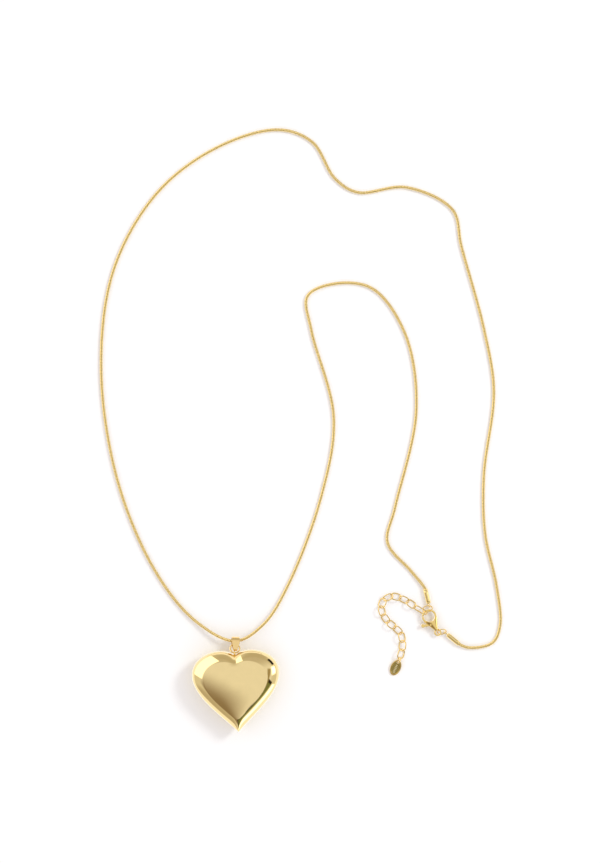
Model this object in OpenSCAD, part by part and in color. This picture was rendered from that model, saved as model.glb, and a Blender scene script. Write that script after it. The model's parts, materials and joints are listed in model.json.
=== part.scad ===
// Pendant necklace: round snake chain, puffed heart on a folded bail, lobster clasp and
// an extender of oval links with an oval end tag. Drawn lying flat, as it is laid down.
// +Z is up and Z = 0 is the surface it lies on. The origin is the middle of the chain's loop.

/* [Snake chain] */
// Diameter of the round snake chain
chain_d = 1.3; // [1:0.1:1.6]

/* [End caps] */
// Outside diameter of an end cap's barrel
cap_od = 1.8; // [1.8:0.1:2.4]
// Length of an end cap's barrel
cap_len = 6; // [5.5:0.1:7.2]
// Outside diameter of the eye on an end cap
cap_eye_od = 2.2; // [2:0.1:2.4]
// Wire of the eye on an end cap
cap_eye_wire = 0.45; // [0.3:0.05:0.5]

/* [Heart] */
// Width across the two lobes
heart_w = 34.8; // [28:0.2:42]
// Height from the tip to the bottom of the notch
heart_h = 30.6; // [25:0.2:37]
// Thickness through the middle
heart_t = 12.8; // [10:0.2:14]
// Sheet that each half is pressed from
heart_wall = 0.5; // [0.4:0.05:0.8]

/* [Heart eye and pendant ring] */
// Outside diameter of the eye soldered in the notch
eye_od = 2.3; // [2.2:0.1:2.6]
// Wire of the eye
eye_wire = 0.5; // [0.4:0.05:0.55]
// Outside diameter of the pendant ring
ring_od = 4.3; // [4:0.1:5]
// Wire of the pendant ring
ring_wire = 0.55; // [0.4:0.05:0.6]

/* [Bail] */
// Length of the bail from the chain to its fold
bail_len = 5.8; // [5.6:0.1:7]
// Width of the bail's strip where it goes over the chain
bail_w = 3; // [2.4:0.1:3.4]
// Width of the strip at its fold
bail_fold_w = 1.4; // [1.2:0.1:1.6]
// Thickness of the strip
bail_strip = 0.35; // [0.25:0.05:0.45]
// Room round the chain inside the bail
bail_room = 0.75; // [0.5:0.05:1]

/* [Clasp] */
// Distance from the centre of the tail ring to the centre of the hook
clasp_reach = 7.2; // [6.8:0.1:8]
// Radius of the opening inside the hook
hook_open_r = 2.15; // [2:0.05:2.4]
// Wall of the hook, seen from above
hook_wall = 0.8; // [0.6:0.05:0.9]
// Thickness of the hook
hook_t = 1.2; // [0.9:0.1:1.3]
// Thickness of the clasp's body
body_t = 3; // [2.6:0.1:3.4]
// Outside diameter of the tail ring
tail_od = 2.9; // [2.7:0.1:3.2]
// Wall of the tail ring
tail_wall = 0.6; // [0.5:0.05:0.7]
// Diameter of the lever's rivet
rivet_d = 0.7; // [0.5:0.05:0.9]
// Thickness of the lever
lever_t = 1.1; // [0.9:0.1:1.1]

/* [Jump rings] */
// Outside diameter of the ring between the end cap and the clasp
clasp_ring_od = 3.9; // [3.8:0.1:4.2]
// Outside diameter of the ring between the end cap and the extender
extender_ring_od = 4.3; // [4.1:0.1:4.6]
// Wire of both jump rings
jump_wire = 0.45; // [0.35:0.05:0.5]

/* [Extender] */
// Length of a link
link_len = 4.6; // [4.5:0.1:5]
// Width of a link
link_w = 3.7; // [3.4:0.1:4]
// Wire of a link
link_wire = 0.5; // [0.35:0.05:0.5]
// Length of the first link, which the clasp holds
first_link_len = 6.4; // [5.9:0.1:6.6]
// Angle that a link leans from the surface
link_lean = 40; // [35:1:48]

/* [Tag] */
// Length of the oval tag
tag_len = 6.6; // [5.5:0.1:8]
// Width of the oval tag
tag_w = 4.1; // [3.5:0.1:5]
// Thickness of the tag's rim
tag_t = 0.6; // [0.5:0.05:0.7]
// Depth of the recess in each face
tag_recess = 0.15; // [0.05:0.05:0.2]
// Diameter of the hole that the tag hangs by
tag_hole_d = 1.1; // [1:0.05:1.3]

/* [Hidden] */
link_names = ["extender_link_01", "extender_link_02", "extender_link_03", "extender_link_04",
    "extender_link_05", "extender_link_06", "extender_link_07", "extender_link_08",
    "extender_link_09", "extender_link_10", "extender_link_11", "extender_link_12",
    "extender_link_13"];

$fn = 48;
gold = [0.86, 0.70, 0.38];
deep_gold = [0.72, 0.55, 0.26];

// The chain's route, from the bottom of one end cap's bore to the bottom of the other's.
// It lies on the surface, and rises over the bail's inside where the heart holds it up.
// The chain's clasp end moves with the length of the clasp, whose hook stays where it is.
clasp_turn = 28.5;
route_reach = 7.2;
end_shift = (clasp_reach - route_reach) * [sin(clasp_turn), -cos(clasp_turn), 0];
route = [
    [60.5, -99, 1.1] + end_shift, [63.5, -101.5, 1.1] + end_shift,
    [68, -103, 0.8] + end_shift, [77, -101, 0.65],
    [80, -94, 0.65], [78.5, -78, 0.65], [74, -57.5, 0.65], [73.5, -34, 0.65],
    [77.5, -0.5, 0.65], [73.5, 24.5, 0.65], [64.5, 57.5, 0.65], [61, 72, 0.65],
    [42.5, 81, 0.65], [23, 79, 0.65], [14, 84.5, 0.65], [5, 99, 0.65],
    [-8, 104, 0.65], [-31, 98, 0.65], [-56, 80, 0.65], [-74, 49.5, 0.65],
    [-79.5, 10, 0.65], [-73, -36, 0.65], [-57.5, -73, 0.65], [-41.5, -92.5, 1.3],
    [-25.7, -100, 4.2], [-14.5, -93.5, 2.2], [-5, -78.5, 0.65], [8.5, -42.5, 0.65],
    [13.5, -11, 0.65], [4.5, 24, 0.65], [3, 37.5, 0.65], [14, 42.5, 0.65],
    [29, 40.5, 0.65], [42, 22.5, 0.65], [46.5, -8, 0.65], [38, -47, 0.65],
    [35, -61, 0.65], [44.5, -72.5, 0.65], [50, -79.5, 1.1], [51, -83.5, 1.1]];
bail_point = 24;
last_point = len(route) - 1;
chain_sides = 8;
// Rings along each span between two points: more where the chain bends over the bail
function span_rings(i) =
    i == 0 || i == last_point - 1 ? 1 : i == bail_point - 1 || i == bail_point ? 4 : 2;

// Room between the chain and the wall of a cap's bore
cap_bore_gap = 0.03;
cap_wall = 0.2;
cap_eye_sunk = 0.25;

// Where the bail hangs on the chain, and how it and the heart lie
bail_at = route[bail_point];
bail_turn = -3;
bail_dip = -15;
bail_roll = 8;
heart_turn = 3;
notch_above_fold = 0.3;
notch_aside = 0.25;
heart_gap = bail_len - notch_above_fold;
heart_z = heart_t / 2;

// The headings of links 2 to 13, anticlockwise from +X, and of the tag
link_heading = [144, 154, 166, 204, 246, 286, 306, 322, 316, 284, 264, 256];
link_slack = 0.2;
tag_heading = 246;

// ---- vectors ----
function unit(v) = v / norm(v);

// ---- a smooth curve through the route's points ----
function point_before(i) = i > 0 ? route[i - 1] : 2 * route[0] - route[1];
function point_after(i) =
    i < last_point ? route[i + 1] : 2 * route[last_point] - route[last_point - 1];
function span_time(a, b) = sqrt(norm(b - a));
function tangent(a, b, c, t1, t2, scale_t) =
    scale_t * ((b - a) / t1 - (c - a) / (t1 + t2) + (c - b) / t2);
function span_point(i, u) =
    let (p0 = point_before(i), p1 = route[i], p2 = route[i + 1], p3 = point_after(i + 1),
         t01 = span_time(p0, p1), t12 = span_time(p1, p2), t23 = span_time(p2, p3),
         m1 = tangent(p0, p1, p2, t01, t12, t12),
         m2 = tangent(p1, p2, p3, t12, t23, t12))
    (2 * pow(u, 3) - 3 * pow(u, 2) + 1) * p1 + (pow(u, 3) - 2 * pow(u, 2) + u) * m1
    + (3 * pow(u, 2) - 2 * pow(u, 3)) * p2 + (pow(u, 3) - pow(u, 2)) * m2;
// No ring goes below the surface
function rested(p) = [p[0], p[1], max(p[2], chain_d / 2)];
centreline = concat(
    [for (i = [0:last_point - 1], k = [0:span_rings(i) - 1]) rested(span_point(i, k / span_rings(i)))],
    [route[last_point]]);

// ---- a closed tube along points that stay near level ----
function tube_direction(c, i) =
    unit(c[min(i + 1, len(c) - 1)] - c[max(i - 1, 0)]);
function tube_ring(c, i, r) =
    let (d = tube_direction(c, i), side = unit(cross([0, 0, 1], d)), up = cross(d, side))
    [for (k = [0:chain_sides - 1])
        c[i] + r * (cos(360 * k / chain_sides) * side + sin(360 * k / chain_sides) * up)];
module tube(c, r) {
    rings = len(c);
    n = chain_sides;
    points = [for (i = [0:rings - 1]) each tube_ring(c, i, r)];
    walls = [for (i = [0:rings - 2], k = [0:n - 1])
        [i * n + k, i * n + (k + 1) % n, (i + 1) * n + (k + 1) % n, (i + 1) * n + k]];
    first = [for (k = [n - 1:-1:0]) k];
    last = [for (k = [0:n - 1]) (rings - 1) * n + k];
    polyhedron(points, concat(walls, [first, last]), convexity = 10);
}

// ---- wire rings and links, lying in the XY plane ----
module wire_ring(od, wire) {
    rotate_extrude() translate([(od - wire) / 2, 0]) circle(d = wire);
}
module wire_link(length, width, wire) {
    bend_r = (width - wire) / 2;
    half_run = (length - width) / 2;
    for (s = [-1, 1]) {
        translate([s * half_run, 0, 0])
            rotate([0, 0, -s * 90])
                rotate_extrude(angle = 180) translate([bend_r, 0]) circle(d = wire);
        translate([-half_run, s * bend_r, 0])
            rotate([0, 90, 0]) cylinder(d = wire, h = 2 * half_run);
    }
}
// Turns a flat ring or link about its own length by lean, then towards heading
module lay(at, heading, lean) {
    translate(at) rotate([0, 0, heading]) rotate([lean, 0, 0]) children();
}

// ---- chain and end caps ----
module snake_chain() {
    color(gold) tube(centreline, chain_d / 2);
}

// An end cap whose bore ends at bottom and opens at mouth; its eye stands on edge
module end_cap(bottom, mouth) {
    dir = unit(bottom - mouth);
    heading = atan2(dir[1], dir[0]);
    eye_r = cap_eye_od / 2;
    bore_d = chain_d + 2 * cap_bore_gap;
    color(gold) translate(mouth) rotate([0, 0, heading]) rotate([0, 90, 0]) {
        difference() {
            cylinder(d = max(cap_od, bore_d + 2 * cap_wall), h = cap_len);
            translate([0, 0, -1]) cylinder(d = bore_d, h = norm(bottom - mouth) + 1);
        }
        translate([0, 0, cap_len + eye_r - cap_eye_sunk])
            rotate([90, 0, 0]) wire_ring(cap_eye_od, cap_eye_wire);
    }
}
module end_cap_clasp_side() {
    end_cap(route[0], route[1]);
}
module end_cap_extender_side() {
    end_cap(route[last_point], route[last_point - 1]);
}

// ---- bail: a strip folded round the chain, drawn in the YZ plane with its fold at -Y ----
bail_top_r = chain_d / 2 + bail_room;
bail_fold_room = 0.3;
bail_fold_r = ring_wire / 2 + bail_fold_room;
bail_outer_r = bail_top_r + bail_strip;
bail_fold_outer_r = bail_fold_r + bail_strip;
bail_run = bail_len - bail_outer_r - bail_fold_outer_r;
// Two circles, the second one run away along +X, with straight sides that touch both
module tapered_slot(r1, r2, run) {
    lean = acos((r1 - r2) / run);
    side = [cos(lean), sin(lean)];
    flip = [cos(lean), -sin(lean)];
    circle(r = r1);
    translate([run, 0]) circle(r = r2);
    polygon([r1 * side, r1 * flip, [run, 0] + r2 * flip, [run, 0] + r2 * side]);
}
module bail_place() {
    translate(bail_at) rotate([0, 0, bail_turn]) rotate([bail_dip, bail_roll, 0]) children();
}
module bail() {
    color(gold) bail_place() intersection() {
        rotate([-90, 0, 90]) rotate([0, 0, 180]) translate([0, 0, -bail_w])
            linear_extrude(2 * bail_w) difference() {
                tapered_slot(bail_outer_r, bail_fold_outer_r, bail_run);
                tapered_slot(bail_top_r, bail_fold_r, bail_run);
            }
        translate([0, 0, -bail_outer_r - 1]) linear_extrude(2 * bail_outer_r + 2)
            polygon([[-bail_w / 2, bail_outer_r], [bail_w / 2, bail_outer_r],
                     [bail_w / 2, -bail_run / 3], [bail_fold_w / 2, -bail_run - bail_fold_outer_r],
                     [-bail_fold_w / 2, -bail_run - bail_fold_outer_r], [-bail_w / 2, -bail_run / 3]]);
    }
}

// ---- heart: two pressed halves about z = 0, with the notch at the origin and the tip at -Y ----
half_w = heart_w / 2;
notch_at = [bail_at[0] - notch_aside, bail_at[1] - heart_gap, heart_z];
heart_centre = [0, -0.4 * heart_h];
// How far each curve of the outline pulls away from its ends, as shares of the half width or height
lobe_pull = [0.322, 0.264];
widest_drop = 0.24;
upper_pull = 0.27;
lower_pull = 0.28;
tip_pull = [0.2, 0.22];
outline_steps = 16;
function bezier(a, b, c, d, u) =
    pow(1 - u, 3) * a + 3 * pow(1 - u, 2) * u * b + 3 * (1 - u) * u * u * c + pow(u, 3) * d;
widest = [half_w, -widest_drop * heart_h];
tip = [0, -heart_h];
function right_side(u) = u < 1
    ? bezier([0, 0], lobe_pull * half_w, widest + [0, upper_pull * heart_h], widest, u)
    : bezier(widest, widest - [0, lower_pull * heart_h], tip + tip_pull * heart_h, tip, u - 1);
right_points = [for (k = [0:2 * outline_steps]) right_side(k / outline_steps)];
left_points = [for (k = [2 * outline_steps - 1:-1:1])
    [-right_points[k][0], right_points[k][1]]];
heart_outline = concat(right_points, left_points);
// How far a pressed half closes in, and how high it stands there, both as shares
press_profile = [[1, 0], [0.995, 0.12], [0.98, 0.26], [0.955, 0.38], [0.92, 0.49],
    [0.86, 0.62], [0.8, 0.73], [0.74, 0.82], [0.68, 0.875], [0.55, 0.93], [0.35, 0.975],
    [0.15, 0.995]];
function heart_ring(share, z, inset) =
    [for (p = heart_outline)
        let (q = heart_centre + share * (p - heart_centre) * (half_w - inset) / half_w)
        [q[0], q[1], z]];
module pressed_half() {
    n = len(heart_outline);
    rings = len(press_profile);
    top = heart_t / 2;
    outer = [for (s = press_profile) each heart_ring(s[0], s[1] * top, 0)];
    inner = [for (s = press_profile) each heart_ring(s[0], s[1] * (top - heart_wall), heart_wall)];
    points = concat(outer, inner, [[heart_centre[0], heart_centre[1], top],
        [heart_centre[0], heart_centre[1], top - heart_wall]]);
    base = n * rings;
    apex = 2 * base;
    outer_walls = [for (i = [0:rings - 2], k = [0:n - 1])
        [i * n + k, i * n + (k + 1) % n, (i + 1) * n + (k + 1) % n, (i + 1) * n + k]];
    inner_walls = [for (f = outer_walls) [base + f[3], base + f[2], base + f[1], base + f[0]]];
    outer_cap = [for (k = [0:n - 1]) [(rings - 1) * n + k, (rings - 1) * n + (k + 1) % n, apex]];
    inner_cap = [for (f = outer_cap) [base + f[1], base + f[0], apex + 1]];
    rim = [for (k = [0:n - 1]) [k, base + k, base + (k + 1) % n, (k + 1) % n]];
    polyhedron(points, concat(outer_walls, inner_walls, outer_cap, inner_cap, rim), convexity = 6);
}
module heart_place() {
    translate(notch_at) rotate([0, 0, heart_turn]) children();
}
module heart_front_shell() {
    color(gold) heart_place() pressed_half();
}
module heart_back_shell() {
    color(deep_gold) heart_place() mirror([0, 0, 1]) pressed_half();
}
// The eye stands across the notch and its foot is soldered between the halves
eye_show = 0.05;
eye_rise = eye_od / 2 - eye_wire + eye_show;
module heart_eye() {
    color(gold) heart_place() translate([0, eye_rise, 0]) rotate([0, 90, 0])
        wire_ring(eye_od, eye_wire);
}

// ---- pendant ring, through the heart's eye and the bail's fold ----
ring_pitch = 27;
ring_turn = -7;
ring_reach = (ring_od - ring_wire) / 2;
ring_clear = 0.1;
ring_foot = eye_rise + eye_od / 2 - eye_wire - ring_wire / 2 - ring_clear;
module pendant_ring() {
    color(gold) heart_place() translate([0, ring_foot, 0]) rotate([-ring_pitch, 0, ring_turn])
        translate([0, ring_reach, 0]) wire_ring(ring_od, ring_wire);
}

// ---- lobster clasp, drawn with its tail ring at the origin and its hook towards +Y ----
clasp_at = [55, -96.8, 1.7] + end_shift;
hook_at = [0, clasp_reach];
hook_r = hook_open_r + hook_wall;
pivot_at = [-1.05, clasp_reach - 3.1];
knob_at = [-3.95, clasp_reach - 2.1];
knob_r = 0.72;
arm_w = 1;
gate_from = 150;
gate_to = 212;
gate_gap = 0.12;
// The gate's tip and the hook's end meet along an arc round the pivot, so the gate swings in
gate_reach = 4.45;
gate_overlap = 8;
slot_gap = 0.25;
slot_t = lever_t + 2 * slot_gap;
lever_z = -slot_gap / 2;
rivet_gap = 0.03;
boss_r = 0.85;
tail_t = 0.8;
neck_w = 1.2;
neck_overlap = 0.25;
shoulder_drop = 1.3;
shoulder_w = 0.9 * 2 * hook_r;
slot_len = 4;
slot_past_boss = 0.5;
// The hook's fixed side runs from hook_from round to hook_to, then on to the gate
hook_from = -60;
hook_to = gate_from - 30;
gate_root = gate_to - 14;
boss_left = 200;
boss_top = 60;
spring_wire = 0.16;
spring_leg = 0.7;
spring_room = 0.3;
module clasp_place() {
    translate(clasp_at) rotate([0, 0, clasp_turn]) children();
}
// A slice of a flat ring between two angles
module arc_band(r_in, r_out, a_from, a_to) {
    reach = 2 * r_out;
    mid = (a_from + a_to) / 2;
    intersection() {
        difference() {
            circle(r = r_out);
            circle(r = r_in);
        }
        polygon([[0, 0], reach * [cos(a_from), sin(a_from)], reach * [cos(mid), sin(mid)],
                 reach * [cos(a_to), sin(a_to)]]);
    }
}
module clasp_outline() {
    neck = tail_od / 2 - neck_overlap;
    shoulder = clasp_reach - shoulder_drop;
    difference() {
        polygon([[-neck_w / 2, neck], [neck_w / 2, neck], [shoulder_w / 2, shoulder],
                 [-shoulder_w / 2, shoulder]]);
        translate(hook_at) circle(r = hook_open_r);
        circle(d = tail_od - 2 * tail_wall);
    }
}
module slot_space() {
    translate([-hook_r - 1, pivot_at[1] - boss_r - gate_gap, lever_z - slot_t / 2])
        cube([hook_r + 1 + pivot_at[0] + boss_r + slot_past_boss, slot_len, slot_t]);
}
module clasp_body() {
    color(gold) clasp_place() difference() {
        union() {
            translate([0, 0, -tail_t / 2]) linear_extrude(tail_t) difference() {
                circle(d = tail_od);
                circle(d = tail_od - 2 * tail_wall);
            }
            translate([0, 0, -body_t / 2]) linear_extrude(body_t) clasp_outline();
            translate([0, 0, -hook_t / 2]) linear_extrude(hook_t) {
                translate(hook_at) arc_band(hook_open_r, hook_r, hook_from, hook_to);
                difference() {
                    translate(hook_at)
                        arc_band(hook_open_r, hook_r, hook_to - 1, gate_from + gate_overlap);
                    translate(pivot_at) circle(r = gate_reach + gate_gap);
                }
            }
        }
        slot_space();
        translate([pivot_at[0], pivot_at[1], -body_t]) cylinder(d = rivet_d, h = 2 * body_t);
    }
}
module clasp_lever() {
    color(deep_gold) clasp_place() translate([0, 0, lever_z - lever_t / 2]) difference() {
        linear_extrude(lever_t) {
            intersection() {
                translate(hook_at)
                    arc_band(hook_open_r, hook_r, gate_from - gate_overlap, gate_to);
                translate(pivot_at) circle(r = gate_reach);
            }
            translate(pivot_at) circle(r = boss_r);
            polygon([hook_at + hook_open_r * [cos(gate_root), sin(gate_root)],
                     hook_at + hook_r * [cos(gate_root), sin(gate_root)],
                     pivot_at + boss_r * [cos(boss_left), sin(boss_left)],
                     pivot_at + boss_r * [cos(boss_top), sin(boss_top)]]);
            translate(knob_at) circle(r = knob_r);
            polygon([knob_at + [0, arm_w / 2], knob_at + [0, -arm_w / 2],
                     pivot_at + [0, -arm_w / 2], pivot_at + [0, arm_w / 2]]);
        }
        translate([pivot_at[0], pivot_at[1], -1]) cylinder(d = rivet_d + 2 * rivet_gap, h = lever_t + 2);
    }
}
module clasp_rivet() {
    color(deep_gold) clasp_place() translate([pivot_at[0], pivot_at[1], -body_t / 2])
        cylinder(d = rivet_d, h = body_t);
}
// A turn of fine wire round the rivet, above the lever, with a leg that bears on the slot's end
module clasp_spring() {
    coil_d = rivet_d + spring_room;
    color("silver") clasp_place()
        translate([pivot_at[0], pivot_at[1], lever_z + slot_t / 2 - slot_gap / 2]) {
            rotate_extrude() translate([coil_d / 2, 0]) circle(d = spring_wire);
            translate([coil_d / 2, 0, 0]) rotate([90, 0, 0]) cylinder(d = spring_wire, h = spring_leg);
        }
}

// ---- jump rings ----
clasp_ring_at = [56.6, -96.53, 1.77] + end_shift;
clasp_ring_heading = 7.4;
clasp_ring_lean = 50.2;
extender_ring_at = [50.9, -87.4, 2.33];
extender_ring_heading = 17;
extender_ring_lean = -53;
module clasp_ring() {
    color(gold) lay(clasp_ring_at, clasp_ring_heading, clasp_ring_lean)
        wire_ring(clasp_ring_od, jump_wire);
}
module extender_ring() {
    color(gold) lay(extender_ring_at, extender_ring_heading, extender_ring_lean)
        wire_ring(extender_ring_od, jump_wire);
}

// ---- extender: each link hangs on the one before, leaning to the other side ----
first_link_at = [48.05, -87.83, 1.83];
first_link_heading = 149;
first_link_lean = -57;
link_reach = (link_len - link_wire * 2 - link_slack) / 2;
link_z = (link_w - link_wire) / 2 * sin(link_lean) + link_wire / 2;
first_reach = (first_link_len - link_wire * 2 - link_slack) / 2;
function heading_vector(a) = [cos(a), sin(a), 0];
chain_start = let (p = first_link_at + first_reach * heading_vector(first_link_heading))
    [p[0], p[1], link_z];
function meeting(i) = i == 0 ? chain_start
    : meeting(i - 1) + 2 * link_reach * heading_vector(link_heading[i - 1]);
module extender_link(i) {
    color(gold)
        if (i == 0)
            lay(first_link_at, first_link_heading, first_link_lean)
                wire_link(first_link_len, link_w, link_wire);
        else
            lay(meeting(i - 1) + link_reach * heading_vector(link_heading[i - 1]),
                link_heading[i - 1], i % 2 == 0 ? -link_lean : link_lean)
                wire_link(link_len, link_w, link_wire);
}

// ---- tag and its ring: the ring stands up, and holds the tag's end off the surface ----
tag_ring_od = 2.8;
tag_ring_wire = 0.4;
tag_ring_lean = 70;
tag_dip = 8;
tag_edge = 0.4;
tag_hole_z = 1.1;
tag_ring_step = 0.8;
tag_hole_step = 1.85;
tag_ring_off_surface = 0.02;
// The recess keeps clear of the hole, and leaves this much of the oval as its rim
recess_shift = 0.5;
recess_end_rim = 2.3;
recess_side_rim = 0.9;
module tag_ring() {
    at = meeting(12) + tag_ring_step * heading_vector(tag_heading);
    color(gold) lay([at[0], at[1], tag_ring_od / 2 + tag_ring_off_surface], tag_heading, tag_ring_lean)
        wire_ring(tag_ring_od, tag_ring_wire);
}
module oval(length, width) {
    scale([length / width, 1]) circle(d = width);
}
module tag() {
    hole_to_middle = tag_len / 2 - tag_edge - tag_hole_d / 2;
    at = meeting(12) + tag_hole_step * heading_vector(tag_heading);
    color(gold) translate([at[0], at[1], tag_hole_z]) rotate([0, tag_dip, tag_heading])
        difference() {
            translate([hole_to_middle, 0, -tag_t / 2]) linear_extrude(tag_t) oval(tag_len, tag_w);
            for (s = [-1, 1])
                translate([hole_to_middle + recess_shift, 0, s * tag_t / 2 - tag_recess])
                    linear_extrude(2 * tag_recess) oval(tag_len - recess_end_rim, tag_w - recess_side_rim);
            translate([0, 0, -tag_t]) cylinder(d = tag_hole_d, h = 2 * tag_t);
        }
}

snake_chain();
end_cap_clasp_side();
end_cap_extender_side();
bail();
pendant_ring();
heart_eye();
heart_front_shell();
heart_back_shell();
clasp_ring();
clasp_body();
clasp_lever();
clasp_rivet();
clasp_spring();
extender_ring();
for (i = [0:len(link_names) - 1])
    extender_link(i);
tag_ring();
tag();
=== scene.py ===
"""Looks of a pendant necklace: round snake chain, puffed gold heart, lobster clasp, extender and tag."""
import json
import math

import bmesh
import bpy
import numpy as np
from mathutils import Matrix, Vector


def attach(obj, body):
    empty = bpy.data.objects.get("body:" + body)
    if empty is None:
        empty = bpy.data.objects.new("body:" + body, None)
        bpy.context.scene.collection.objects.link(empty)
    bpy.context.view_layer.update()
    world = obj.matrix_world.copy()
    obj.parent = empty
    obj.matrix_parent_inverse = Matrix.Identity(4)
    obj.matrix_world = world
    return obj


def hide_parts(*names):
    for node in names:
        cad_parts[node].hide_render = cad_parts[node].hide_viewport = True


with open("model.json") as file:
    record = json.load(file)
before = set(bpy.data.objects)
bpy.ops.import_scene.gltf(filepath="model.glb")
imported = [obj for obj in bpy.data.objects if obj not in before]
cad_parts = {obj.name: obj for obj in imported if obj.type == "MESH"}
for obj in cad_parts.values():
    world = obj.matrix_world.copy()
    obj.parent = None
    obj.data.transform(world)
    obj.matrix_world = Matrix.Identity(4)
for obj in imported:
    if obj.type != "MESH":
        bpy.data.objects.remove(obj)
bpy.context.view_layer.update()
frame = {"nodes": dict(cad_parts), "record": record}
MM = 0.001
NODES = frame["nodes"]
BODY_OF = {node: body for body, nodes in frame["record"]["behaviour"]["bodies"].items()
           for node in nodes}


# ---- camera: straight above the middle of the layout ----
VIEW_HEIGHT = 0.9
VIEW_WIDTH = 0.24
VIEW_MIDDLE = (0.0, -0.0166)
camera = bpy.data.objects.new("Camera", bpy.data.cameras.new("Camera"))
bpy.context.scene.collection.objects.link(camera)
camera.location = (VIEW_MIDDLE[0], VIEW_MIDDLE[1], VIEW_HEIGHT)
camera.data.sensor_fit = "HORIZONTAL"
camera.data.sensor_width = 36
camera.data.lens = 36 * VIEW_HEIGHT / VIEW_WIDTH
camera.data.clip_start = 0.01
bpy.context.scene.camera = camera
bpy.context.scene.view_settings.view_transform = "Standard"


# ---- shader maths ----
class Value:
    """A socket that can be added, multiplied and compared like a number."""

    def __init__(self, nodes, socket):
        self.nodes = nodes
        self.socket = socket

    def maths(self, operation, other=None, third=None):
        return self.nodes.maths(operation, self, other, third)

    def __add__(self, other):
        return self.maths("ADD", other)

    def __sub__(self, other):
        return self.maths("SUBTRACT", other)

    def __mul__(self, other):
        return self.maths("MULTIPLY", other)

    def __truediv__(self, other):
        return self.maths("DIVIDE", other)

    __radd__ = __add__
    __rmul__ = __mul__

    def above(self, edge, softness):
        """0 below edge, 1 above it, with a soft step of that width."""
        return self.nodes.step(self, edge - softness / 2, edge + softness / 2)

    def below(self, edge, softness):
        return self.nodes.step(self, edge + softness / 2, edge - softness / 2)


class Nodes:
    """Adds nodes to one tree."""

    def __init__(self, tree):
        self.tree = tree
        tree.nodes.clear()

    def add(self, kind, settings=None, **inputs):
        node = self.tree.nodes.new(kind)
        for name, value in (settings or {}).items():
            setattr(node, name, value)
        for name, value in inputs.items():
            self.put(node.inputs[name.replace("_", " ")], value)
        return node

    def put(self, socket, value):
        if isinstance(value, Value):
            self.tree.links.new(value.socket, socket)
        elif isinstance(value, bpy.types.NodeSocket):
            self.tree.links.new(value, socket)
        else:
            socket.default_value = value

    def out(self, node, name):
        return Value(self, node.outputs[name])

    def maths(self, operation, a, b=None, c=None):
        node = self.tree.nodes.new("ShaderNodeMath")
        node.operation = operation
        for i, value in enumerate((a, b, c)):
            if value is not None:
                self.put(node.inputs[i], value)
        return Value(self, node.outputs[0])

    def step(self, value, start, end):
        node = self.add("ShaderNodeMapRange", {"interpolation_type": "SMOOTHSTEP"},
                        Value=value, From_Min=start, From_Max=end)
        return self.out(node, "Result")

    def blend(self, factor, a, b):
        node = self.tree.nodes.new("ShaderNodeMix")
        node.data_type = "RGBA"
        self.put(node.inputs["Factor"], factor)
        self.put(node.inputs[6], a)
        self.put(node.inputs[7], b)
        return Value(self, node.outputs[2])

    def dot(self, vector, direction):
        node = self.tree.nodes.new("ShaderNodeVectorMath")
        node.operation = "DOT_PRODUCT"
        self.put(node.inputs[0], vector)
        node.inputs[1].default_value = direction
        return Value(self, node.outputs["Value"])

    def noise(self, vector, size_mm, detail=2.0):
        node = self.add("ShaderNodeTexNoise", None, Scale=1000.0 / size_mm, Detail=detail)
        self.put(node.inputs["Vector"], vector)
        return self.out(node, "Fac")


SMEAR_MM = 3.1
SPECK_MM = 0.35
BUMP_STRENGTH = 0.35
BUMP_DEPTH = 0.2 * MM


def gold(name, colour, rough=0.07, rough_spread=0.05, waviness=0.0, grain=0.0, grain_mm=0.25,
         wave_mm=6.0):
    """Polished plated gold: smears in its polish, a slow waviness and a fine grain in its surface."""
    material = bpy.data.materials.new(name)
    material.use_nodes = True
    n = Nodes(material.node_tree)
    place = n.out(n.add("ShaderNodeTexCoord"), "Object")
    smear = n.noise(place, SMEAR_MM, 4.0)
    speck = n.noise(place, SPECK_MM, 3.0)
    tint = n.blend(smear, (*[c * 0.96 for c in colour], 1), (*[min(1, c * 1.03) for c in colour], 1))
    uneven = smear * rough_spread + speck * (rough_spread * 0.4)
    shader = n.add("ShaderNodeBsdfPrincipled", None, Base_Color=tint, Metallic=1.0,
                   Roughness=uneven + (rough - rough_spread * 0.7))
    height = None
    if waviness:
        height = n.noise(place, wave_mm, 1.0) * waviness
    if grain:
        fine = n.noise(place, grain_mm, 2.0) * grain
        height = fine if height is None else height + fine
    if height is not None:
        bump = n.add("ShaderNodeBump", None, Strength=BUMP_STRENGTH, Distance=BUMP_DEPTH,
                     Height=height)
        n.put(shader.inputs["Normal"], bump.outputs["Normal"])
    output = n.add("ShaderNodeOutputMaterial")
    n.tree.links.new(shader.outputs[0], output.inputs["Surface"])
    return material


HEART_GOLD = gold("heart_gold", (0.84, 0.66, 0.33), rough=0.05, rough_spread=0.03)
BACK_GOLD = gold("heart_back_gold", (0.84, 0.66, 0.33), rough=0.08, rough_spread=0.05, waviness=0.2)
WIRE_GOLD = gold("wire_gold", (0.80, 0.58, 0.22), rough=0.10, rough_spread=0.06, grain=0.05)
CAST_GOLD = gold("cast_gold", (0.82, 0.60, 0.22), rough=0.08, rough_spread=0.05, waviness=0.3,
                 grain=0.06, wave_mm=1.6)
CAP_GOLD = gold("cap_gold", (0.88, 0.68, 0.30), rough=0.09, rough_spread=0.05, grain=0.03)
CHAIN_GOLD = gold("snake_chain_gold", (0.78, 0.60, 0.27), rough=0.16, rough_spread=0.1, grain=0.2,
                  grain_mm=0.5)
BAIL_GOLD = gold("bail_gold", (0.86, 0.62, 0.28), rough=0.16, rough_spread=0.08, grain=0.08)
TAG_GOLD = gold("tag_gold", (0.50, 0.40, 0.13), rough=0.2, rough_spread=0.1, grain=0.1)
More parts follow.
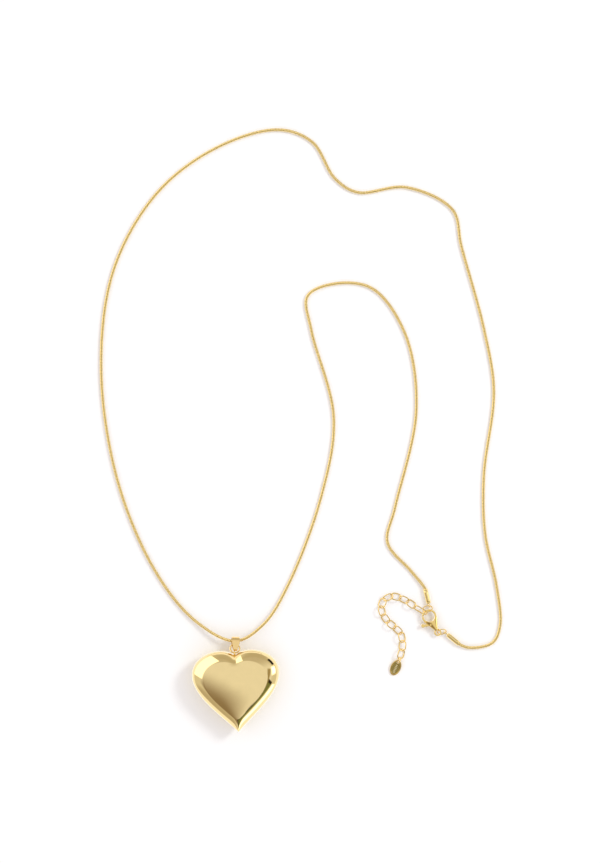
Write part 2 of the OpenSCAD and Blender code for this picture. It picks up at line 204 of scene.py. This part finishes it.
MARK_GOLD = gold("tag_mark_gold", (1.0, 0.88, 0.60), rough=0.2, rough_spread=0.05)
SPRING_STEEL = gold("spring_steel", (0.60, 0.60, 0.62), rough=0.25, rough_spread=0.1, grain=0.1)


# ---- making pieces ----
def piece(name, verts, faces, material, node, smooth=True):
    """A mesh piece that stands for one CAD node and rides on its body."""
    mesh = bpy.data.meshes.new(name)
    mesh.from_pydata([tuple(v) for v in verts], [], faces)
    mesh.validate()
    return finish_piece(name, mesh, material, node, smooth)


def finish_piece(name, mesh, material, node, smooth=True):
    mesh.materials.clear()
    mesh.materials.append(material)
    for polygon in mesh.polygons:
        polygon.use_smooth = smooth
    obj = bpy.data.objects.new(name, mesh)
    bpy.context.scene.collection.objects.link(obj)
    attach(obj, BODY_OF[node])
    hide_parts(node)
    return obj


def ring_faces(rows, around, start=0, closed=False, capped=True):
    """Quads between rows of points; rows that aren't closed into a loop get an end face each."""
    faces = []
    for i in range(rows if closed else rows - 1):
        a, b = start + i * around, start + ((i + 1) % rows) * around
        faces += [(a + k, a + (k + 1) % around, b + (k + 1) % around, b + k) for k in range(around)]
    if capped and not closed:
        faces.append(tuple(start + k for k in range(around - 1, -1, -1)))
        faces.append(tuple(start + (rows - 1) * around + k for k in range(around)))
    return faces


def points_of(node):
    return np.array([v.co[:] for v in NODES[node].data.vertices])


def placed_like(node):
    """Middle, axes (long, wide, thin) and size of a CAD node, from its own points."""
    points = points_of(node)
    mean = points.mean(axis=0)
    _, _, axes = np.linalg.svd(points - mean, full_matrices=False)
    if np.linalg.det(axes) < 0:
        axes[2] *= -1
    local = (points - mean) @ axes.T
    low, high = local.min(axis=0), local.max(axis=0)
    return mean + (low + high) / 2 @ axes, axes, high - low


# ---- snake chain: overlapping waved collars along the chain's route ----
ROUTE = [
    (60.5, -99, 1.1), (63.5, -101.5, 1.1), (68, -103, 0.8), (77, -101, 0.65),
    (80, -94, 0.65), (78.5, -78, 0.65), (74, -57.5, 0.65), (73.5, -34, 0.65),
    (77.5, -0.5, 0.65), (73.5, 24.5, 0.65), (64.5, 57.5, 0.65), (61, 72, 0.65),
    (42.5, 81, 0.65), (23, 79, 0.65), (14, 84.5, 0.65), (5, 99, 0.65),
    (-8, 104, 0.65), (-31, 98, 0.65), (-56, 80, 0.65), (-74, 49.5, 0.65),
    (-79.5, 10, 0.65), (-73, -36, 0.65), (-57.5, -73, 0.65), (-41.5, -92.5, 1.3),
    (-25.7, -100, 4.2), (-14.5, -93.5, 2.2), (-5, -78.5, 0.65), (8.5, -42.5, 0.65),
    (13.5, -11, 0.65), (4.5, 24, 0.65), (3, 37.5, 0.65), (14, 42.5, 0.65),
    (29, 40.5, 0.65), (42, 22.5, 0.65), (46.5, -8, 0.65), (38, -47, 0.65),
    (35, -61, 0.65), (44.5, -72.5, 0.65), (50, -79.5, 1.1), (51, -83.5, 1.1)]
CHAIN_D = 1.3 * MM
COLLAR_PITCH = 0.55 * MM
STEPS_A_SPAN = 14


def smooth_route():
    """The chain's centreline: a smooth curve through the route's points, never below the surface."""
    points = [np.array(p) * MM for p in ROUTE]
    points = [2 * points[0] - points[1]] + points + [2 * points[-1] - points[-2]]
    line = []
    for a, b, c, d in zip(points, points[1:], points[2:], points[3:]):
        t1, t2, t3 = (math.sqrt(np.linalg.norm(q - p)) for p, q in ((a, b), (b, c), (c, d)))
        m1 = t2 * ((b - a) / t1 - (c - a) / (t1 + t2) + (c - b) / t2)
        m2 = t2 * ((c - b) / t2 - (d - b) / (t2 + t3) + (d - c) / t3)
        for k in range(STEPS_A_SPAN):
            u = k / STEPS_A_SPAN
            line.append((2 * u**3 - 3 * u**2 + 1) * b + (u**3 - 2 * u**2 + u) * m1
                        + (3 * u**2 - 2 * u**3) * c + (u**3 - u**2) * m2)
    line.append(points[-2])
    return [np.array([p[0], p[1], max(p[2], CHAIN_D / 2)]) for p in line]


CHAIN_LINE = smooth_route()


def collar_mesh():
    """One waved collar of the snake chain, closed, with its axis along Z."""
    sides = 10
    rows = ((-0.31, 0.42), (-0.27, 0.585), (-0.08, 0.65), (0.12, 0.64), (0.30, 0.56))
    verts = []
    for z, radius in rows:
        for k in range(sides):
            a = 2 * math.pi * k / sides
            wave = 0.06 * math.cos(2 * a)
            verts.append((radius * MM * math.cos(a), radius * MM * math.sin(a), (z + wave) * MM))
    mesh = bpy.data.meshes.new("chain_collar")
    mesh.from_pydata(verts, [], ring_faces(len(rows), sides))
    for polygon in mesh.polygons:
        polygon.use_smooth = True
    obj = bpy.data.objects.new("chain_collar", mesh)
    bpy.context.scene.collection.objects.link(obj)
    return obj


def chain_tree(collar):
    """Collars at an even pitch along the line, each turned a little from the one before."""
    tree = bpy.data.node_groups.new("snake_chain", "GeometryNodeTree")
    face = tree.interface
    face.new_socket("Line", in_out="INPUT", socket_type="NodeSocketGeometry")
    pitch = face.new_socket("Pitch", in_out="INPUT", socket_type="NodeSocketFloat")
    pitch.default_value = COLLAR_PITCH
    turn = face.new_socket("Turn", in_out="INPUT", socket_type="NodeSocketFloat")
    turn.default_value = math.pi / 2
    face.new_socket("Chain", in_out="OUTPUT", socket_type="NodeSocketGeometry")
    new, link = tree.nodes.new, tree.links.new
    given, result = new("NodeGroupInput"), new("NodeGroupOutput")
    curve = new("GeometryNodeMeshToCurve")
    spread = new("GeometryNodeCurveToPoints")
    spread.mode = "LENGTH"
    aim = new("FunctionNodeAlignRotationToVector")
    aim.axis = "Z"
    index = new("GeometryNodeInputIndex")
    times = new("ShaderNodeMath")
    times.operation = "MULTIPLY"
    spin = new("FunctionNodeAxisAngleToRotation")
    spin.inputs["Axis"].default_value = (0, 0, 1)
    turned = new("FunctionNodeRotateRotation")
    turned.rotation_space = "LOCAL"
    source = new("GeometryNodeObjectInfo")
    source.inputs["Object"].default_value = collar
    place = new("GeometryNodeInstanceOnPoints")
    real = new("GeometryNodeRealizeInstances")
    paint = new("GeometryNodeSetMaterial")
    paint.inputs["Material"].default_value = CHAIN_GOLD
    link(given.outputs["Line"], curve.inputs[0])
    link(curve.outputs[0], spread.inputs["Curve"])
    link(given.outputs["Pitch"], spread.inputs["Length"])
    link(spread.outputs["Tangent"], aim.inputs["Vector"])
    link(index.outputs[0], times.inputs[0])
    link(given.outputs["Turn"], times.inputs[1])
    link(times.outputs[0], spin.inputs["Angle"])
    link(aim.outputs[0], turned.inputs[0])
    link(spin.outputs[0], turned.inputs[1])
    link(spread.outputs["Points"], place.inputs["Points"])
    link(source.outputs["Geometry"], place.inputs["Instance"])
    link(turned.outputs[0], place.inputs["Rotation"])
    link(place.outputs[0], real.inputs[0])
    link(real.outputs[0], paint.inputs["Geometry"])
    link(paint.outputs[0], result.inputs[0])
    return tree


def baked(obj):
    """A plain mesh of what obj's modifiers make; the modifiers and obj go."""
    bpy.context.view_layer.update()
    evaluated = obj.evaluated_get(bpy.context.evaluated_depsgraph_get())
    mesh = bpy.data.meshes.new_from_object(evaluated)
    bpy.data.objects.remove(obj)
    return mesh


def make_snake_chain():
    line = bpy.data.meshes.new("chain_line")
    line.from_pydata([tuple(p) for p in CHAIN_LINE], [(i, i + 1) for i in range(len(CHAIN_LINE) - 1)], [])
    obj = bpy.data.objects.new("chain_line", line)
    bpy.context.scene.collection.objects.link(obj)
    collar = collar_mesh()
    modifier = obj.modifiers.new("snake_chain", "NODES")
    modifier.node_group = chain_tree(collar)
    mesh = baked(obj)
    bpy.data.objects.remove(collar)
    chain = finish_piece("snake_chain_collars", mesh, CHAIN_GOLD, "snake_chain")
    return chain


make_snake_chain()


# ---- rings and links of wire, each with its butt joint ----
WIRE_SIDES = 14
JOINT_DEPTH = 0.93
# Share of the wire's thickness that polishing takes off
WIRE_POLISH = 0.06


def loop_line(length, width, steps):
    """Points and outward normals round a flat link, starting in the middle of one long side."""
    radius = width / 2
    half_run = max(0.0, (length - width) / 2)
    corner = math.pi * radius
    around = 2 * corner + 4 * half_run
    out = []
    for i in range(steps):
        s = around * i / steps
        if s < half_run:
            out.append((s, -radius, 0, -1))
            continue
        s -= half_run
        if s < corner:
            a = s / radius - math.pi / 2
            out.append((half_run + radius * math.cos(a), radius * math.sin(a), math.cos(a), math.sin(a)))
            continue
        s -= corner
        if s < 2 * half_run:
            out.append((half_run - s, radius, 0, 1))
            continue
        s -= 2 * half_run
        if s < corner:
            a = s / radius + math.pi / 2
            out.append((-half_run + radius * math.cos(a), radius * math.sin(a), math.cos(a), math.sin(a)))
            continue
        out.append((-half_run + (s - corner), -radius, 0, -1))
    return out


def wire_loop(length, width, wire, steps=96, joint=True):
    """Vertices and faces of a closed wire link that lies in XY, outer sizes given."""
    line = loop_line(length - wire, width - wire, steps)
    verts = []
    for i, (x, y, nx, ny) in enumerate(line):
        radius = wire / 2
        if joint and i == 0:
            radius *= JOINT_DEPTH
        for k in range(WIRE_SIDES):
            a = 2 * math.pi * k / WIRE_SIDES
            verts.append((x + nx * radius * math.cos(a), y + ny * radius * math.cos(a), radius * math.sin(a)))
    faces = ring_faces(steps, WIRE_SIDES, closed=True)
    return verts, [tuple(reversed(f)) for f in faces]


def wire_piece(node, material=WIRE_GOLD):
    middle, axes, size = placed_like(node)
    verts, faces = wire_loop(*(size - size[2] * WIRE_POLISH))
    placed = np.array(verts) @ axes + middle
    return piece(node + "_wire", placed, faces, material, node)


WIRE_NODES = ["pendant_ring", "heart_eye", "clasp_ring", "extender_ring", "tag_ring"]
WIRE_NODES += ["extender_link_%02d" % i for i in range(1, 14)]
for wire_node in WIRE_NODES:
    wire_piece(wire_node)


# ---- end caps: a crimped barrel with a rolled mouth, and its eye ----
CAP_LENGTH = 6 * MM
CAP_EYE_OD = 2.2 * MM
CAP_EYE_WIRE = 0.45 * MM
CAP_EYE_SUNK = 0.25 * MM


def frame_along(direction):
    """Rotation that takes +Z to direction."""
    return np.array(Vector(direction).to_track_quat("Z", "Y").to_matrix())


def lathe(profile, sides=40):
    verts = []
    for z, radius in profile:
        for k in range(sides):
            a = 2 * math.pi * k / sides
            verts.append((radius * math.cos(a), radius * math.sin(a), z))
    return verts, ring_faces(len(profile), sides)


def end_cap(node, bottom, mouth):
    bottom, mouth = np.array(bottom) * MM, np.array(mouth) * MM
    axis = (bottom - mouth) / np.linalg.norm(bottom - mouth)
    depth = np.linalg.norm(bottom - mouth) / MM
    profile = [(depth, 0.05), (depth, 0.68), (0.08, 0.68), (0.0, 0.73), (-0.02, 0.79), (0.0, 0.85),
               (0.08, 0.895), (0.5, 0.9), (0.62, 0.9), (0.68, 0.86), (0.76, 0.86), (0.82, 0.9),
               (1.6, 0.9), (4.6, 0.9), (5.3, 0.9), (5.38, 0.865), (5.46, 0.865), (5.54, 0.9),
               (5.75, 0.89), (5.9, 0.83), (5.97, 0.72), (6.0, 0.5), (6.0, 0.05)]
    verts, faces = lathe([(z * MM, r * MM) for z, r in profile])
    verts = np.array(verts) @ frame_along(axis).T + mouth
    ring_verts, ring_quads = wire_loop(CAP_EYE_OD, CAP_EYE_OD, CAP_EYE_WIRE, steps=64, joint=False)
    side = np.cross((0, 0, 1), axis)
    side /= np.linalg.norm(side)
    turn = np.array([axis, np.cross(side, axis), side])
    eye_middle = mouth + axis * (CAP_LENGTH + CAP_EYE_OD / 2 - CAP_EYE_SUNK)
    eye = np.array(ring_verts) @ turn + eye_middle
    count = len(verts)
    all_faces = [tuple(reversed(f)) for f in faces] + [tuple(count + i for i in f) for f in ring_quads]
    obj = piece(node + "_turned", list(verts) + list(eye), all_faces, CAP_GOLD, node)
    outward(obj)
    return obj


def outward(obj):
    mesh = bmesh.new()
    mesh.from_mesh(obj.data)
    bmesh.ops.recalc_face_normals(mesh, faces=mesh.faces)
    mesh.to_mesh(obj.data)
    mesh.free()


end_cap("end_cap_clasp_side", ROUTE[0], ROUTE[1])
end_cap("end_cap_extender_side", ROUTE[-1], ROUTE[-2])


# ---- heart: two pressed halves, each a shallow face inside a rounded border ----
HEART_W = 34.8
HEART_H = 30.6
HEART_T = 12.8
HEART_WALL = 0.5
HEART_TURN = math.radians(3)
NOTCH = (-25.95, -105.5, 6.4)
HEART_MIDDLE = np.array([0.0, -0.4 * HEART_H])
OUTLINE_STEPS = 90
# How far each curve of the outline pulls away from its ends, as shares of the half width or height
LOBE_PULL = np.array([0.322, 0.264])
WIDEST_DROP = 0.24
UPPER_PULL = 0.27
LOWER_PULL = 0.28
TIP_PULL = np.array([0.2, 0.22])


def heart_outline():
    half = HEART_W / 2
    widest = np.array([half, -WIDEST_DROP * HEART_H])
    tip = np.array([0, -HEART_H])
    lobe = LOBE_PULL * half
    spans = [
        (np.zeros(2), lobe, widest + [0, UPPER_PULL * HEART_H], widest),
        (widest, widest - [0, LOWER_PULL * HEART_H], tip + TIP_PULL * HEART_H, tip)]
    right = []
    for a, b, c, d in spans:
        for k in range(OUTLINE_STEPS):
            u = k / OUTLINE_STEPS
            right.append((1 - u)**3 * a + 3 * (1 - u)**2 * u * b + 3 * (1 - u) * u * u * c + u**3 * d)
    right.append(tip)
    left = [np.array([-p[0], p[1]]) for p in right[-2:0:-1]]
    return np.array(right + left)


# Shares of the way from the heart's middle to its seam, and the sheet's slope in degrees there
FACE_EDGE = 0.72
BORDER_EDGE = 0.74
SHOULDER = 0.93
FACE_SLOPE = 13
BORDER_SLOPE = 31
SHOULDER_SLOPE = 50
RIM_SLOPE = 86
# How far the outline's corners are rounded, in degrees round the heart
EDGE_SOFTNESS = 7
MIDDLE_SOFTNESS = 60


def rounded_outline(outline, share):
    """The outline as it runs at that share of the way out: rounder towards the middle."""
    softness = EDGE_SOFTNESS * min(1.0, (1 - share) / (1 - FACE_EDGE))
    softness += MIDDLE_SOFTNESS * max(0.0, 1 - share / FACE_EDGE)
    waves = np.fft.fft(outline[:, 0] + 1j * outline[:, 1])
    order = np.fft.fftfreq(len(outline)) * len(outline)
    keep = np.where(np.abs(order) < 1.5, 1.0, np.exp(-0.5 * (order * math.radians(softness))**2))
    line = np.fft.ifft(waves * keep)
    return np.stack([line.real, line.imag], axis=1)


def press_slope(share):
    """Slope in degrees of the pressed sheet, from the middle at 0 to the seam at 1."""
    if share < FACE_EDGE:
        return FACE_SLOPE * (share / FACE_EDGE)
    if share < BORDER_EDGE:
        part = (share - FACE_EDGE) / (BORDER_EDGE - FACE_EDGE)
        return FACE_SLOPE + (BORDER_SLOPE - FACE_SLOPE) * part
    if share < SHOULDER:
        part = (share - BORDER_EDGE) / (SHOULDER - BORDER_EDGE)
        return BORDER_SLOPE + (SHOULDER_SLOPE - BORDER_SLOPE) * part
    part = (share - SHOULDER) / (1 - SHOULDER)
    return SHOULDER_SLOPE + (RIM_SLOPE - SHOULDER_SLOPE) * part**0.8


def stretch(start, end, steps):
    """Even steps from start, short of end."""
    return [start + (end - start) * i / steps for i in range(steps)]


def press_profile():
    """Shares from the middle to the seam and the height at each, seam at 0 and middle at 1."""
    shares = [0.0001] + stretch(0, FACE_EDGE, 22)[1:] + stretch(FACE_EDGE, BORDER_EDGE, 5)
    shares += stretch(BORDER_EDGE, SHOULDER, 16) + stretch(SHOULDER, 1, 18) + [1.0]
    heights = [0.0]
    for a, b in zip(shares, shares[1:]):
        heights.append(heights[-1] + math.tan(math.radians(press_slope((a + b) / 2))) * (b - a))
    total = heights[-1]
    return [(s, 1 - h / total) for s, h in zip(shares, heights)]


def heart_half(name, node, sign, material):
    outline = heart_outline()
    count = len(outline)
    verts = []
    rows = press_profile()
    for inset in (0.0, HEART_WALL):
        shrink = (HEART_W / 2 - inset) / (HEART_W / 2)
        top = HEART_T / 2 - inset
        for share, height in rows:
            line = rounded_outline(outline, share)
            ring = HEART_MIDDLE + share * (line - HEART_MIDDLE) * shrink
            verts += [(x, y, sign * height * top) for x, y in ring]
    faces = ring_faces(len(rows), count, capped=False)
    inner = len(rows) * count
    faces += [tuple(inner + i for i in reversed(f)) for f in ring_faces(len(rows), count, capped=False)]
    faces.append(tuple(range(count - 1, -1, -1)))
    faces.append(tuple(inner + k for k in range(count)))
    last = (len(rows) - 1) * count
    faces += [(last + k, last + (k + 1) % count, inner + last + (k + 1) % count, inner + last + k)
              for k in range(count)]
    spin = np.array(Matrix.Rotation(HEART_TURN, 3, "Z"))
    placed = (np.array(verts) @ spin.T + NOTCH) * MM
    obj = piece(name, placed, faces, material, node)
    outward(obj)
    return obj


heart_half("heart_front_pressing", "heart_front_shell", 1, HEART_GOLD)
heart_half("heart_back_pressing", "heart_back_shell", -1, BACK_GOLD)


# ---- castings and the bail: the CAD shape with its edges worn round ----
def rounded_copy(name, node, material, grain_mm, passes):
    """A fresh skin over the node's shape, with its edges softened."""
    obj = bpy.data.objects.new(name + "_draft", NODES[node].data.copy())
    bpy.context.scene.collection.objects.link(obj)
    weld = obj.modifiers.new("weld", "WELD")
    weld.merge_threshold = 1e-6
    remesh = obj.modifiers.new("skin", "REMESH")
    remesh.mode = "VOXEL"
    remesh.voxel_size = grain_mm * MM
    smooth = obj.modifiers.new("wear", "SMOOTH")
    smooth.factor = 0.5
    smooth.iterations = passes
    mesh = baked(obj)
    return finish_piece(name, mesh, material, node)


CLASP_AT = np.array([55, -96.8, 1.7]) * MM
CLASP_TURN = math.radians(28.5)
BODY_FROM, BODY_TO = 0.9, 6.2
BODY_HALF_W = (0.75, 2.9)
CHEEK_CURVE = 0.9
HOOK_RUN = 2


def domed(obj, roundness=0.8):
    """Rounds the clasp's flat cheeks over from its middle line to its sides."""
    turn = np.array(Matrix.Rotation(CLASP_TURN, 2))
    for vertex in obj.data.vertices:
        x, y = (np.array(vertex.co[:2]) - CLASP_AT[:2]) / MM @ turn
        share = min(1.0, max(0.0, (y - BODY_FROM) / (BODY_TO - BODY_FROM)))
        half = BODY_HALF_W[0] + (BODY_HALF_W[1] - BODY_HALF_W[0]) * share
        across = min(1.0, abs(x) / half)
        flat = 1 - roundness * (1 - math.sqrt(max(0.0, 1 - CHEEK_CURVE * across**2)))
        if BODY_FROM < y < BODY_TO + HOOK_RUN:
            vertex.co.z = CLASP_AT[2] + (vertex.co.z - CLASP_AT[2]) * flat


domed(rounded_copy("clasp_body_casting", "clasp_body", CAST_GOLD, 0.055, 16))
rounded_copy("clasp_lever_casting", "clasp_lever", CAST_GOLD, 0.05, 4)
rounded_copy("bail_strip", "bail", BAIL_GOLD, 0.05, 3)


# ---- tag: a dull gold plate with a bright rim and a row of raised diamonds ----
RIM_FROM = 0.82
MARKS = 6
MARK_STEP = 0.62
MARK_LONG = 0.2
MARK_WIDE = 0.62
MARK_TOP = 0.27
MARK_FOOT = 0.1
MARK_BEVEL = 0.05
MARK_CROWN = 0.6
MARK_TAPER = 0.35
RECESS_SHIFT = 0.5


def make_tag():
    plate = rounded_copy("tag_plate", "tag", TAG_GOLD, 0.045, 3)
    plate.data.materials.append(WIRE_GOLD)
    middle, axes, size = placed_like("tag")
    if axes[2][2] < 0:
        axes = axes * np.array([[1], [-1], [-1]])
    for polygon in plate.data.polygons:
        place = (np.array(polygon.center) - middle) @ axes.T
        if math.hypot(place[0] * 2 / size[0], place[1] * 2 / size[1]) > RIM_FROM:
            polygon.material_index = 1
    hole_side = np.sign((placed_like("tag_ring")[0] - middle) @ axes[0])
    verts, faces = [], []
    for i in range(MARKS):
        along = -hole_side * RECESS_SHIFT + (i - (MARKS - 1) / 2) * MARK_STEP
        wide = MARK_WIDE * (1 - MARK_TAPER * abs(i - (MARKS - 1) / 2) / MARKS)
        start = len(verts)
        for share, z in ((1.0, MARK_FOOT), (1.0, MARK_TOP - MARK_BEVEL), (MARK_CROWN, MARK_TOP)):
            for x, y in ((MARK_LONG, 0), (0, wide), (-MARK_LONG, 0), (0, -wide)):
                verts.append(((along + x * share) * MM, y * share * MM, z * MM))
        faces += ring_faces(3, 4, start)
    placed = np.array(verts) @ axes + middle
    mesh = bpy.data.meshes.new("tag_marks")
    mesh.from_pydata([tuple(v) for v in placed], [], faces)
    mesh.materials.append(MARK_GOLD)
    marks = bpy.data.objects.new("tag_marks", mesh)
    bpy.context.scene.collection.objects.link(marks)
    outward(marks)
    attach(marks, BODY_OF["tag"])


make_tag()

for node, material in (("clasp_rivet", CAST_GOLD), ("clasp_spring", SPRING_STEEL)):
    NODES[node].data.materials.clear()
    NODES[node].data.materials.append(material)


# ---- floor ----
FLOOR_HALF = 1.6
FLOOR_DROP = 0.05 * MM


def make_floor():
    half = FLOOR_HALF
    mesh = bpy.data.meshes.new("floor")
    corners = [(-half, -half, 0), (half, -half, 0), (half, half, 0), (-half, half, 0)]
    mesh.from_pydata(corners, [], [(0, 1, 2, 3)])
    obj = bpy.data.objects.new("floor", mesh)
    obj.location = (0, 0, -FLOOR_DROP)
    bpy.context.scene.collection.objects.link(obj)
    material = bpy.data.materials.new("floor_white")
    material.use_nodes = True
    n = Nodes(material.node_tree)
    shader = n.add("ShaderNodeBsdfPrincipled", None, Base_Color=(0.97, 0.955, 0.965, 1), Roughness=0.9)
    shader.inputs["Specular IOR Level"].default_value = 0.1
    seen_in_gold = n.add("ShaderNodeEmission", None, Color=(1.0, 0.99, 1.0, 1), Strength=1.25)
    path = n.add("ShaderNodeLightPath")
    mix = n.tree.nodes.new("ShaderNodeMixShader")
    n.tree.links.new(path.outputs["Is Glossy Ray"], mix.inputs[0])
    n.tree.links.new(shader.outputs[0], mix.inputs[1])
    n.tree.links.new(seen_in_gold.outputs[0], mix.inputs[2])
    output = n.add("ShaderNodeOutputMaterial")
    n.tree.links.new(mix.outputs[0], output.inputs["Surface"])
    mesh.materials.append(material)


make_floor()


# ---- light: a studio room of soft boxes and dark stands, and one soft key from the upper right ----
def direction(azimuth, from_top):
    a, t = math.radians(azimuth), math.radians(from_top)
    return Vector((math.cos(a) * math.sin(t), math.sin(a) * math.sin(t), math.cos(t)))


FILL = 0.93


def studio():
    world = bpy.data.worlds.new("studio")
    bpy.context.scene.world = world
    world.use_nodes = True
    n = Nodes(world.node_tree)
    look = n.out(n.add("ShaderNodeTexCoord"), "Generated")

    def card(azimuth, from_top, half_wide, half_high, soft):
        """1 inside a flat card seen in that direction, its half sizes in degrees."""
        ahead = direction(azimuth, from_top)
        up = direction(azimuth, from_top - 90)
        across = ahead.cross(up)
        front = n.dot(look, ahead)
        wide = (n.dot(look, across) / front).maths("ABSOLUTE")
        high = (n.dot(look, up) / front).maths("ABSOLUTE")
        in_width = wide.below(math.tan(math.radians(half_wide)), soft)
        in_height = high.below(math.tan(math.radians(half_high)), soft)
        return in_width * in_height * front.above(0.05, 0.02)

    def paint(ground, shape, colour, strength):
        return n.blend(shape, ground, (*[c * strength for c in colour], 1))

    # The room: bright overhead, duller and warmer towards the lower left
    fall = n.dot(look, direction(238, 48))
    room = n.blend(n.step(fall, 0.70, 0.97), (0.98, 0.98, 0.98, 1), (0.32, 0.25, 0.17, 1))
    top = n.dot(look, (0, 0, 1))
    room = n.blend(n.step(top, 0.58, 0.42), room, (0.84, 0.82, 0.74, 1))
    low = n.dot(look, direction(225, 82))
    room = n.blend(n.step(low, 0.90, 0.99) * 0.7, room, (0.50, 0.43, 0.33, 1))
    back = n.dot(look, direction(80, 60))
    room = n.blend(n.step(back, 0.70, 0.98) * 0.6, room, (0.45, 0.38, 0.26, 1))
    # Dark stands to the lower right, and the olive screen between them
    room = paint(room, card(-52, 50, 30, 19, 0.04), (0.035, 0.03, 0.02), 1)
    room = paint(room, card(-50, 56, 23, 13, 0.05), (0.22, 0.25, 0.09), 1)
    room = paint(room, card(-12, 45, 25, 6, 0.14), (0.42, 0.35, 0.20), 1)
    room = paint(room, card(38, 77, 10, 12, 0.05), (0.02, 0.02, 0.02), 1)
    # Soft boxes
    room = paint(room, card(146, 68, 33, 26, 0.05), (1, 0.98, 0.92), 2.1)
    room = paint(room, card(-52, 84, 26, 8, 0.06), (1, 0.99, 0.96), 2.6)
    room = paint(room, card(10, 66, 11, 8, 0.14), (1, 1, 1), 3.0)
    plain = n.add("ShaderNodeBackground", None, Color=(1, 0.985, 0.99, 1), Strength=FILL)
    lit = n.add("ShaderNodeBackground", None, Color=room, Strength=1.0)
    path = n.add("ShaderNodeLightPath")
    mix = n.tree.nodes.new("ShaderNodeMixShader")
    n.tree.links.new(path.outputs["Is Glossy Ray"], mix.inputs[0])
    n.tree.links.new(plain.outputs[0], mix.inputs[1])
    n.tree.links.new(lit.outputs[0], mix.inputs[2])
    output = n.add("ShaderNodeOutputWorld")
    n.tree.links.new(mix.outputs[0], output.inputs["Surface"])


def area_light(name, place, target, size, power, colour=(1, 1, 1)):
    light = bpy.data.lights.new(name, "AREA")
    light.shape = "DISK"
    light.size = size
    light.energy = power
    light.color = colour
    obj = bpy.data.objects.new(name, light)
    bpy.context.scene.collection.objects.link(obj)
    obj.location = place
    obj.rotation_euler = (Vector(target) - Vector(place)).to_track_quat("-Z", "Y").to_euler()
    obj.visible_glossy = False
    return obj


studio()
area_light("key", (1.0, 0.5, 1.15), (0, -0.03, 0), 0.42, 7.0, (0.94, 1.0, 0.98))
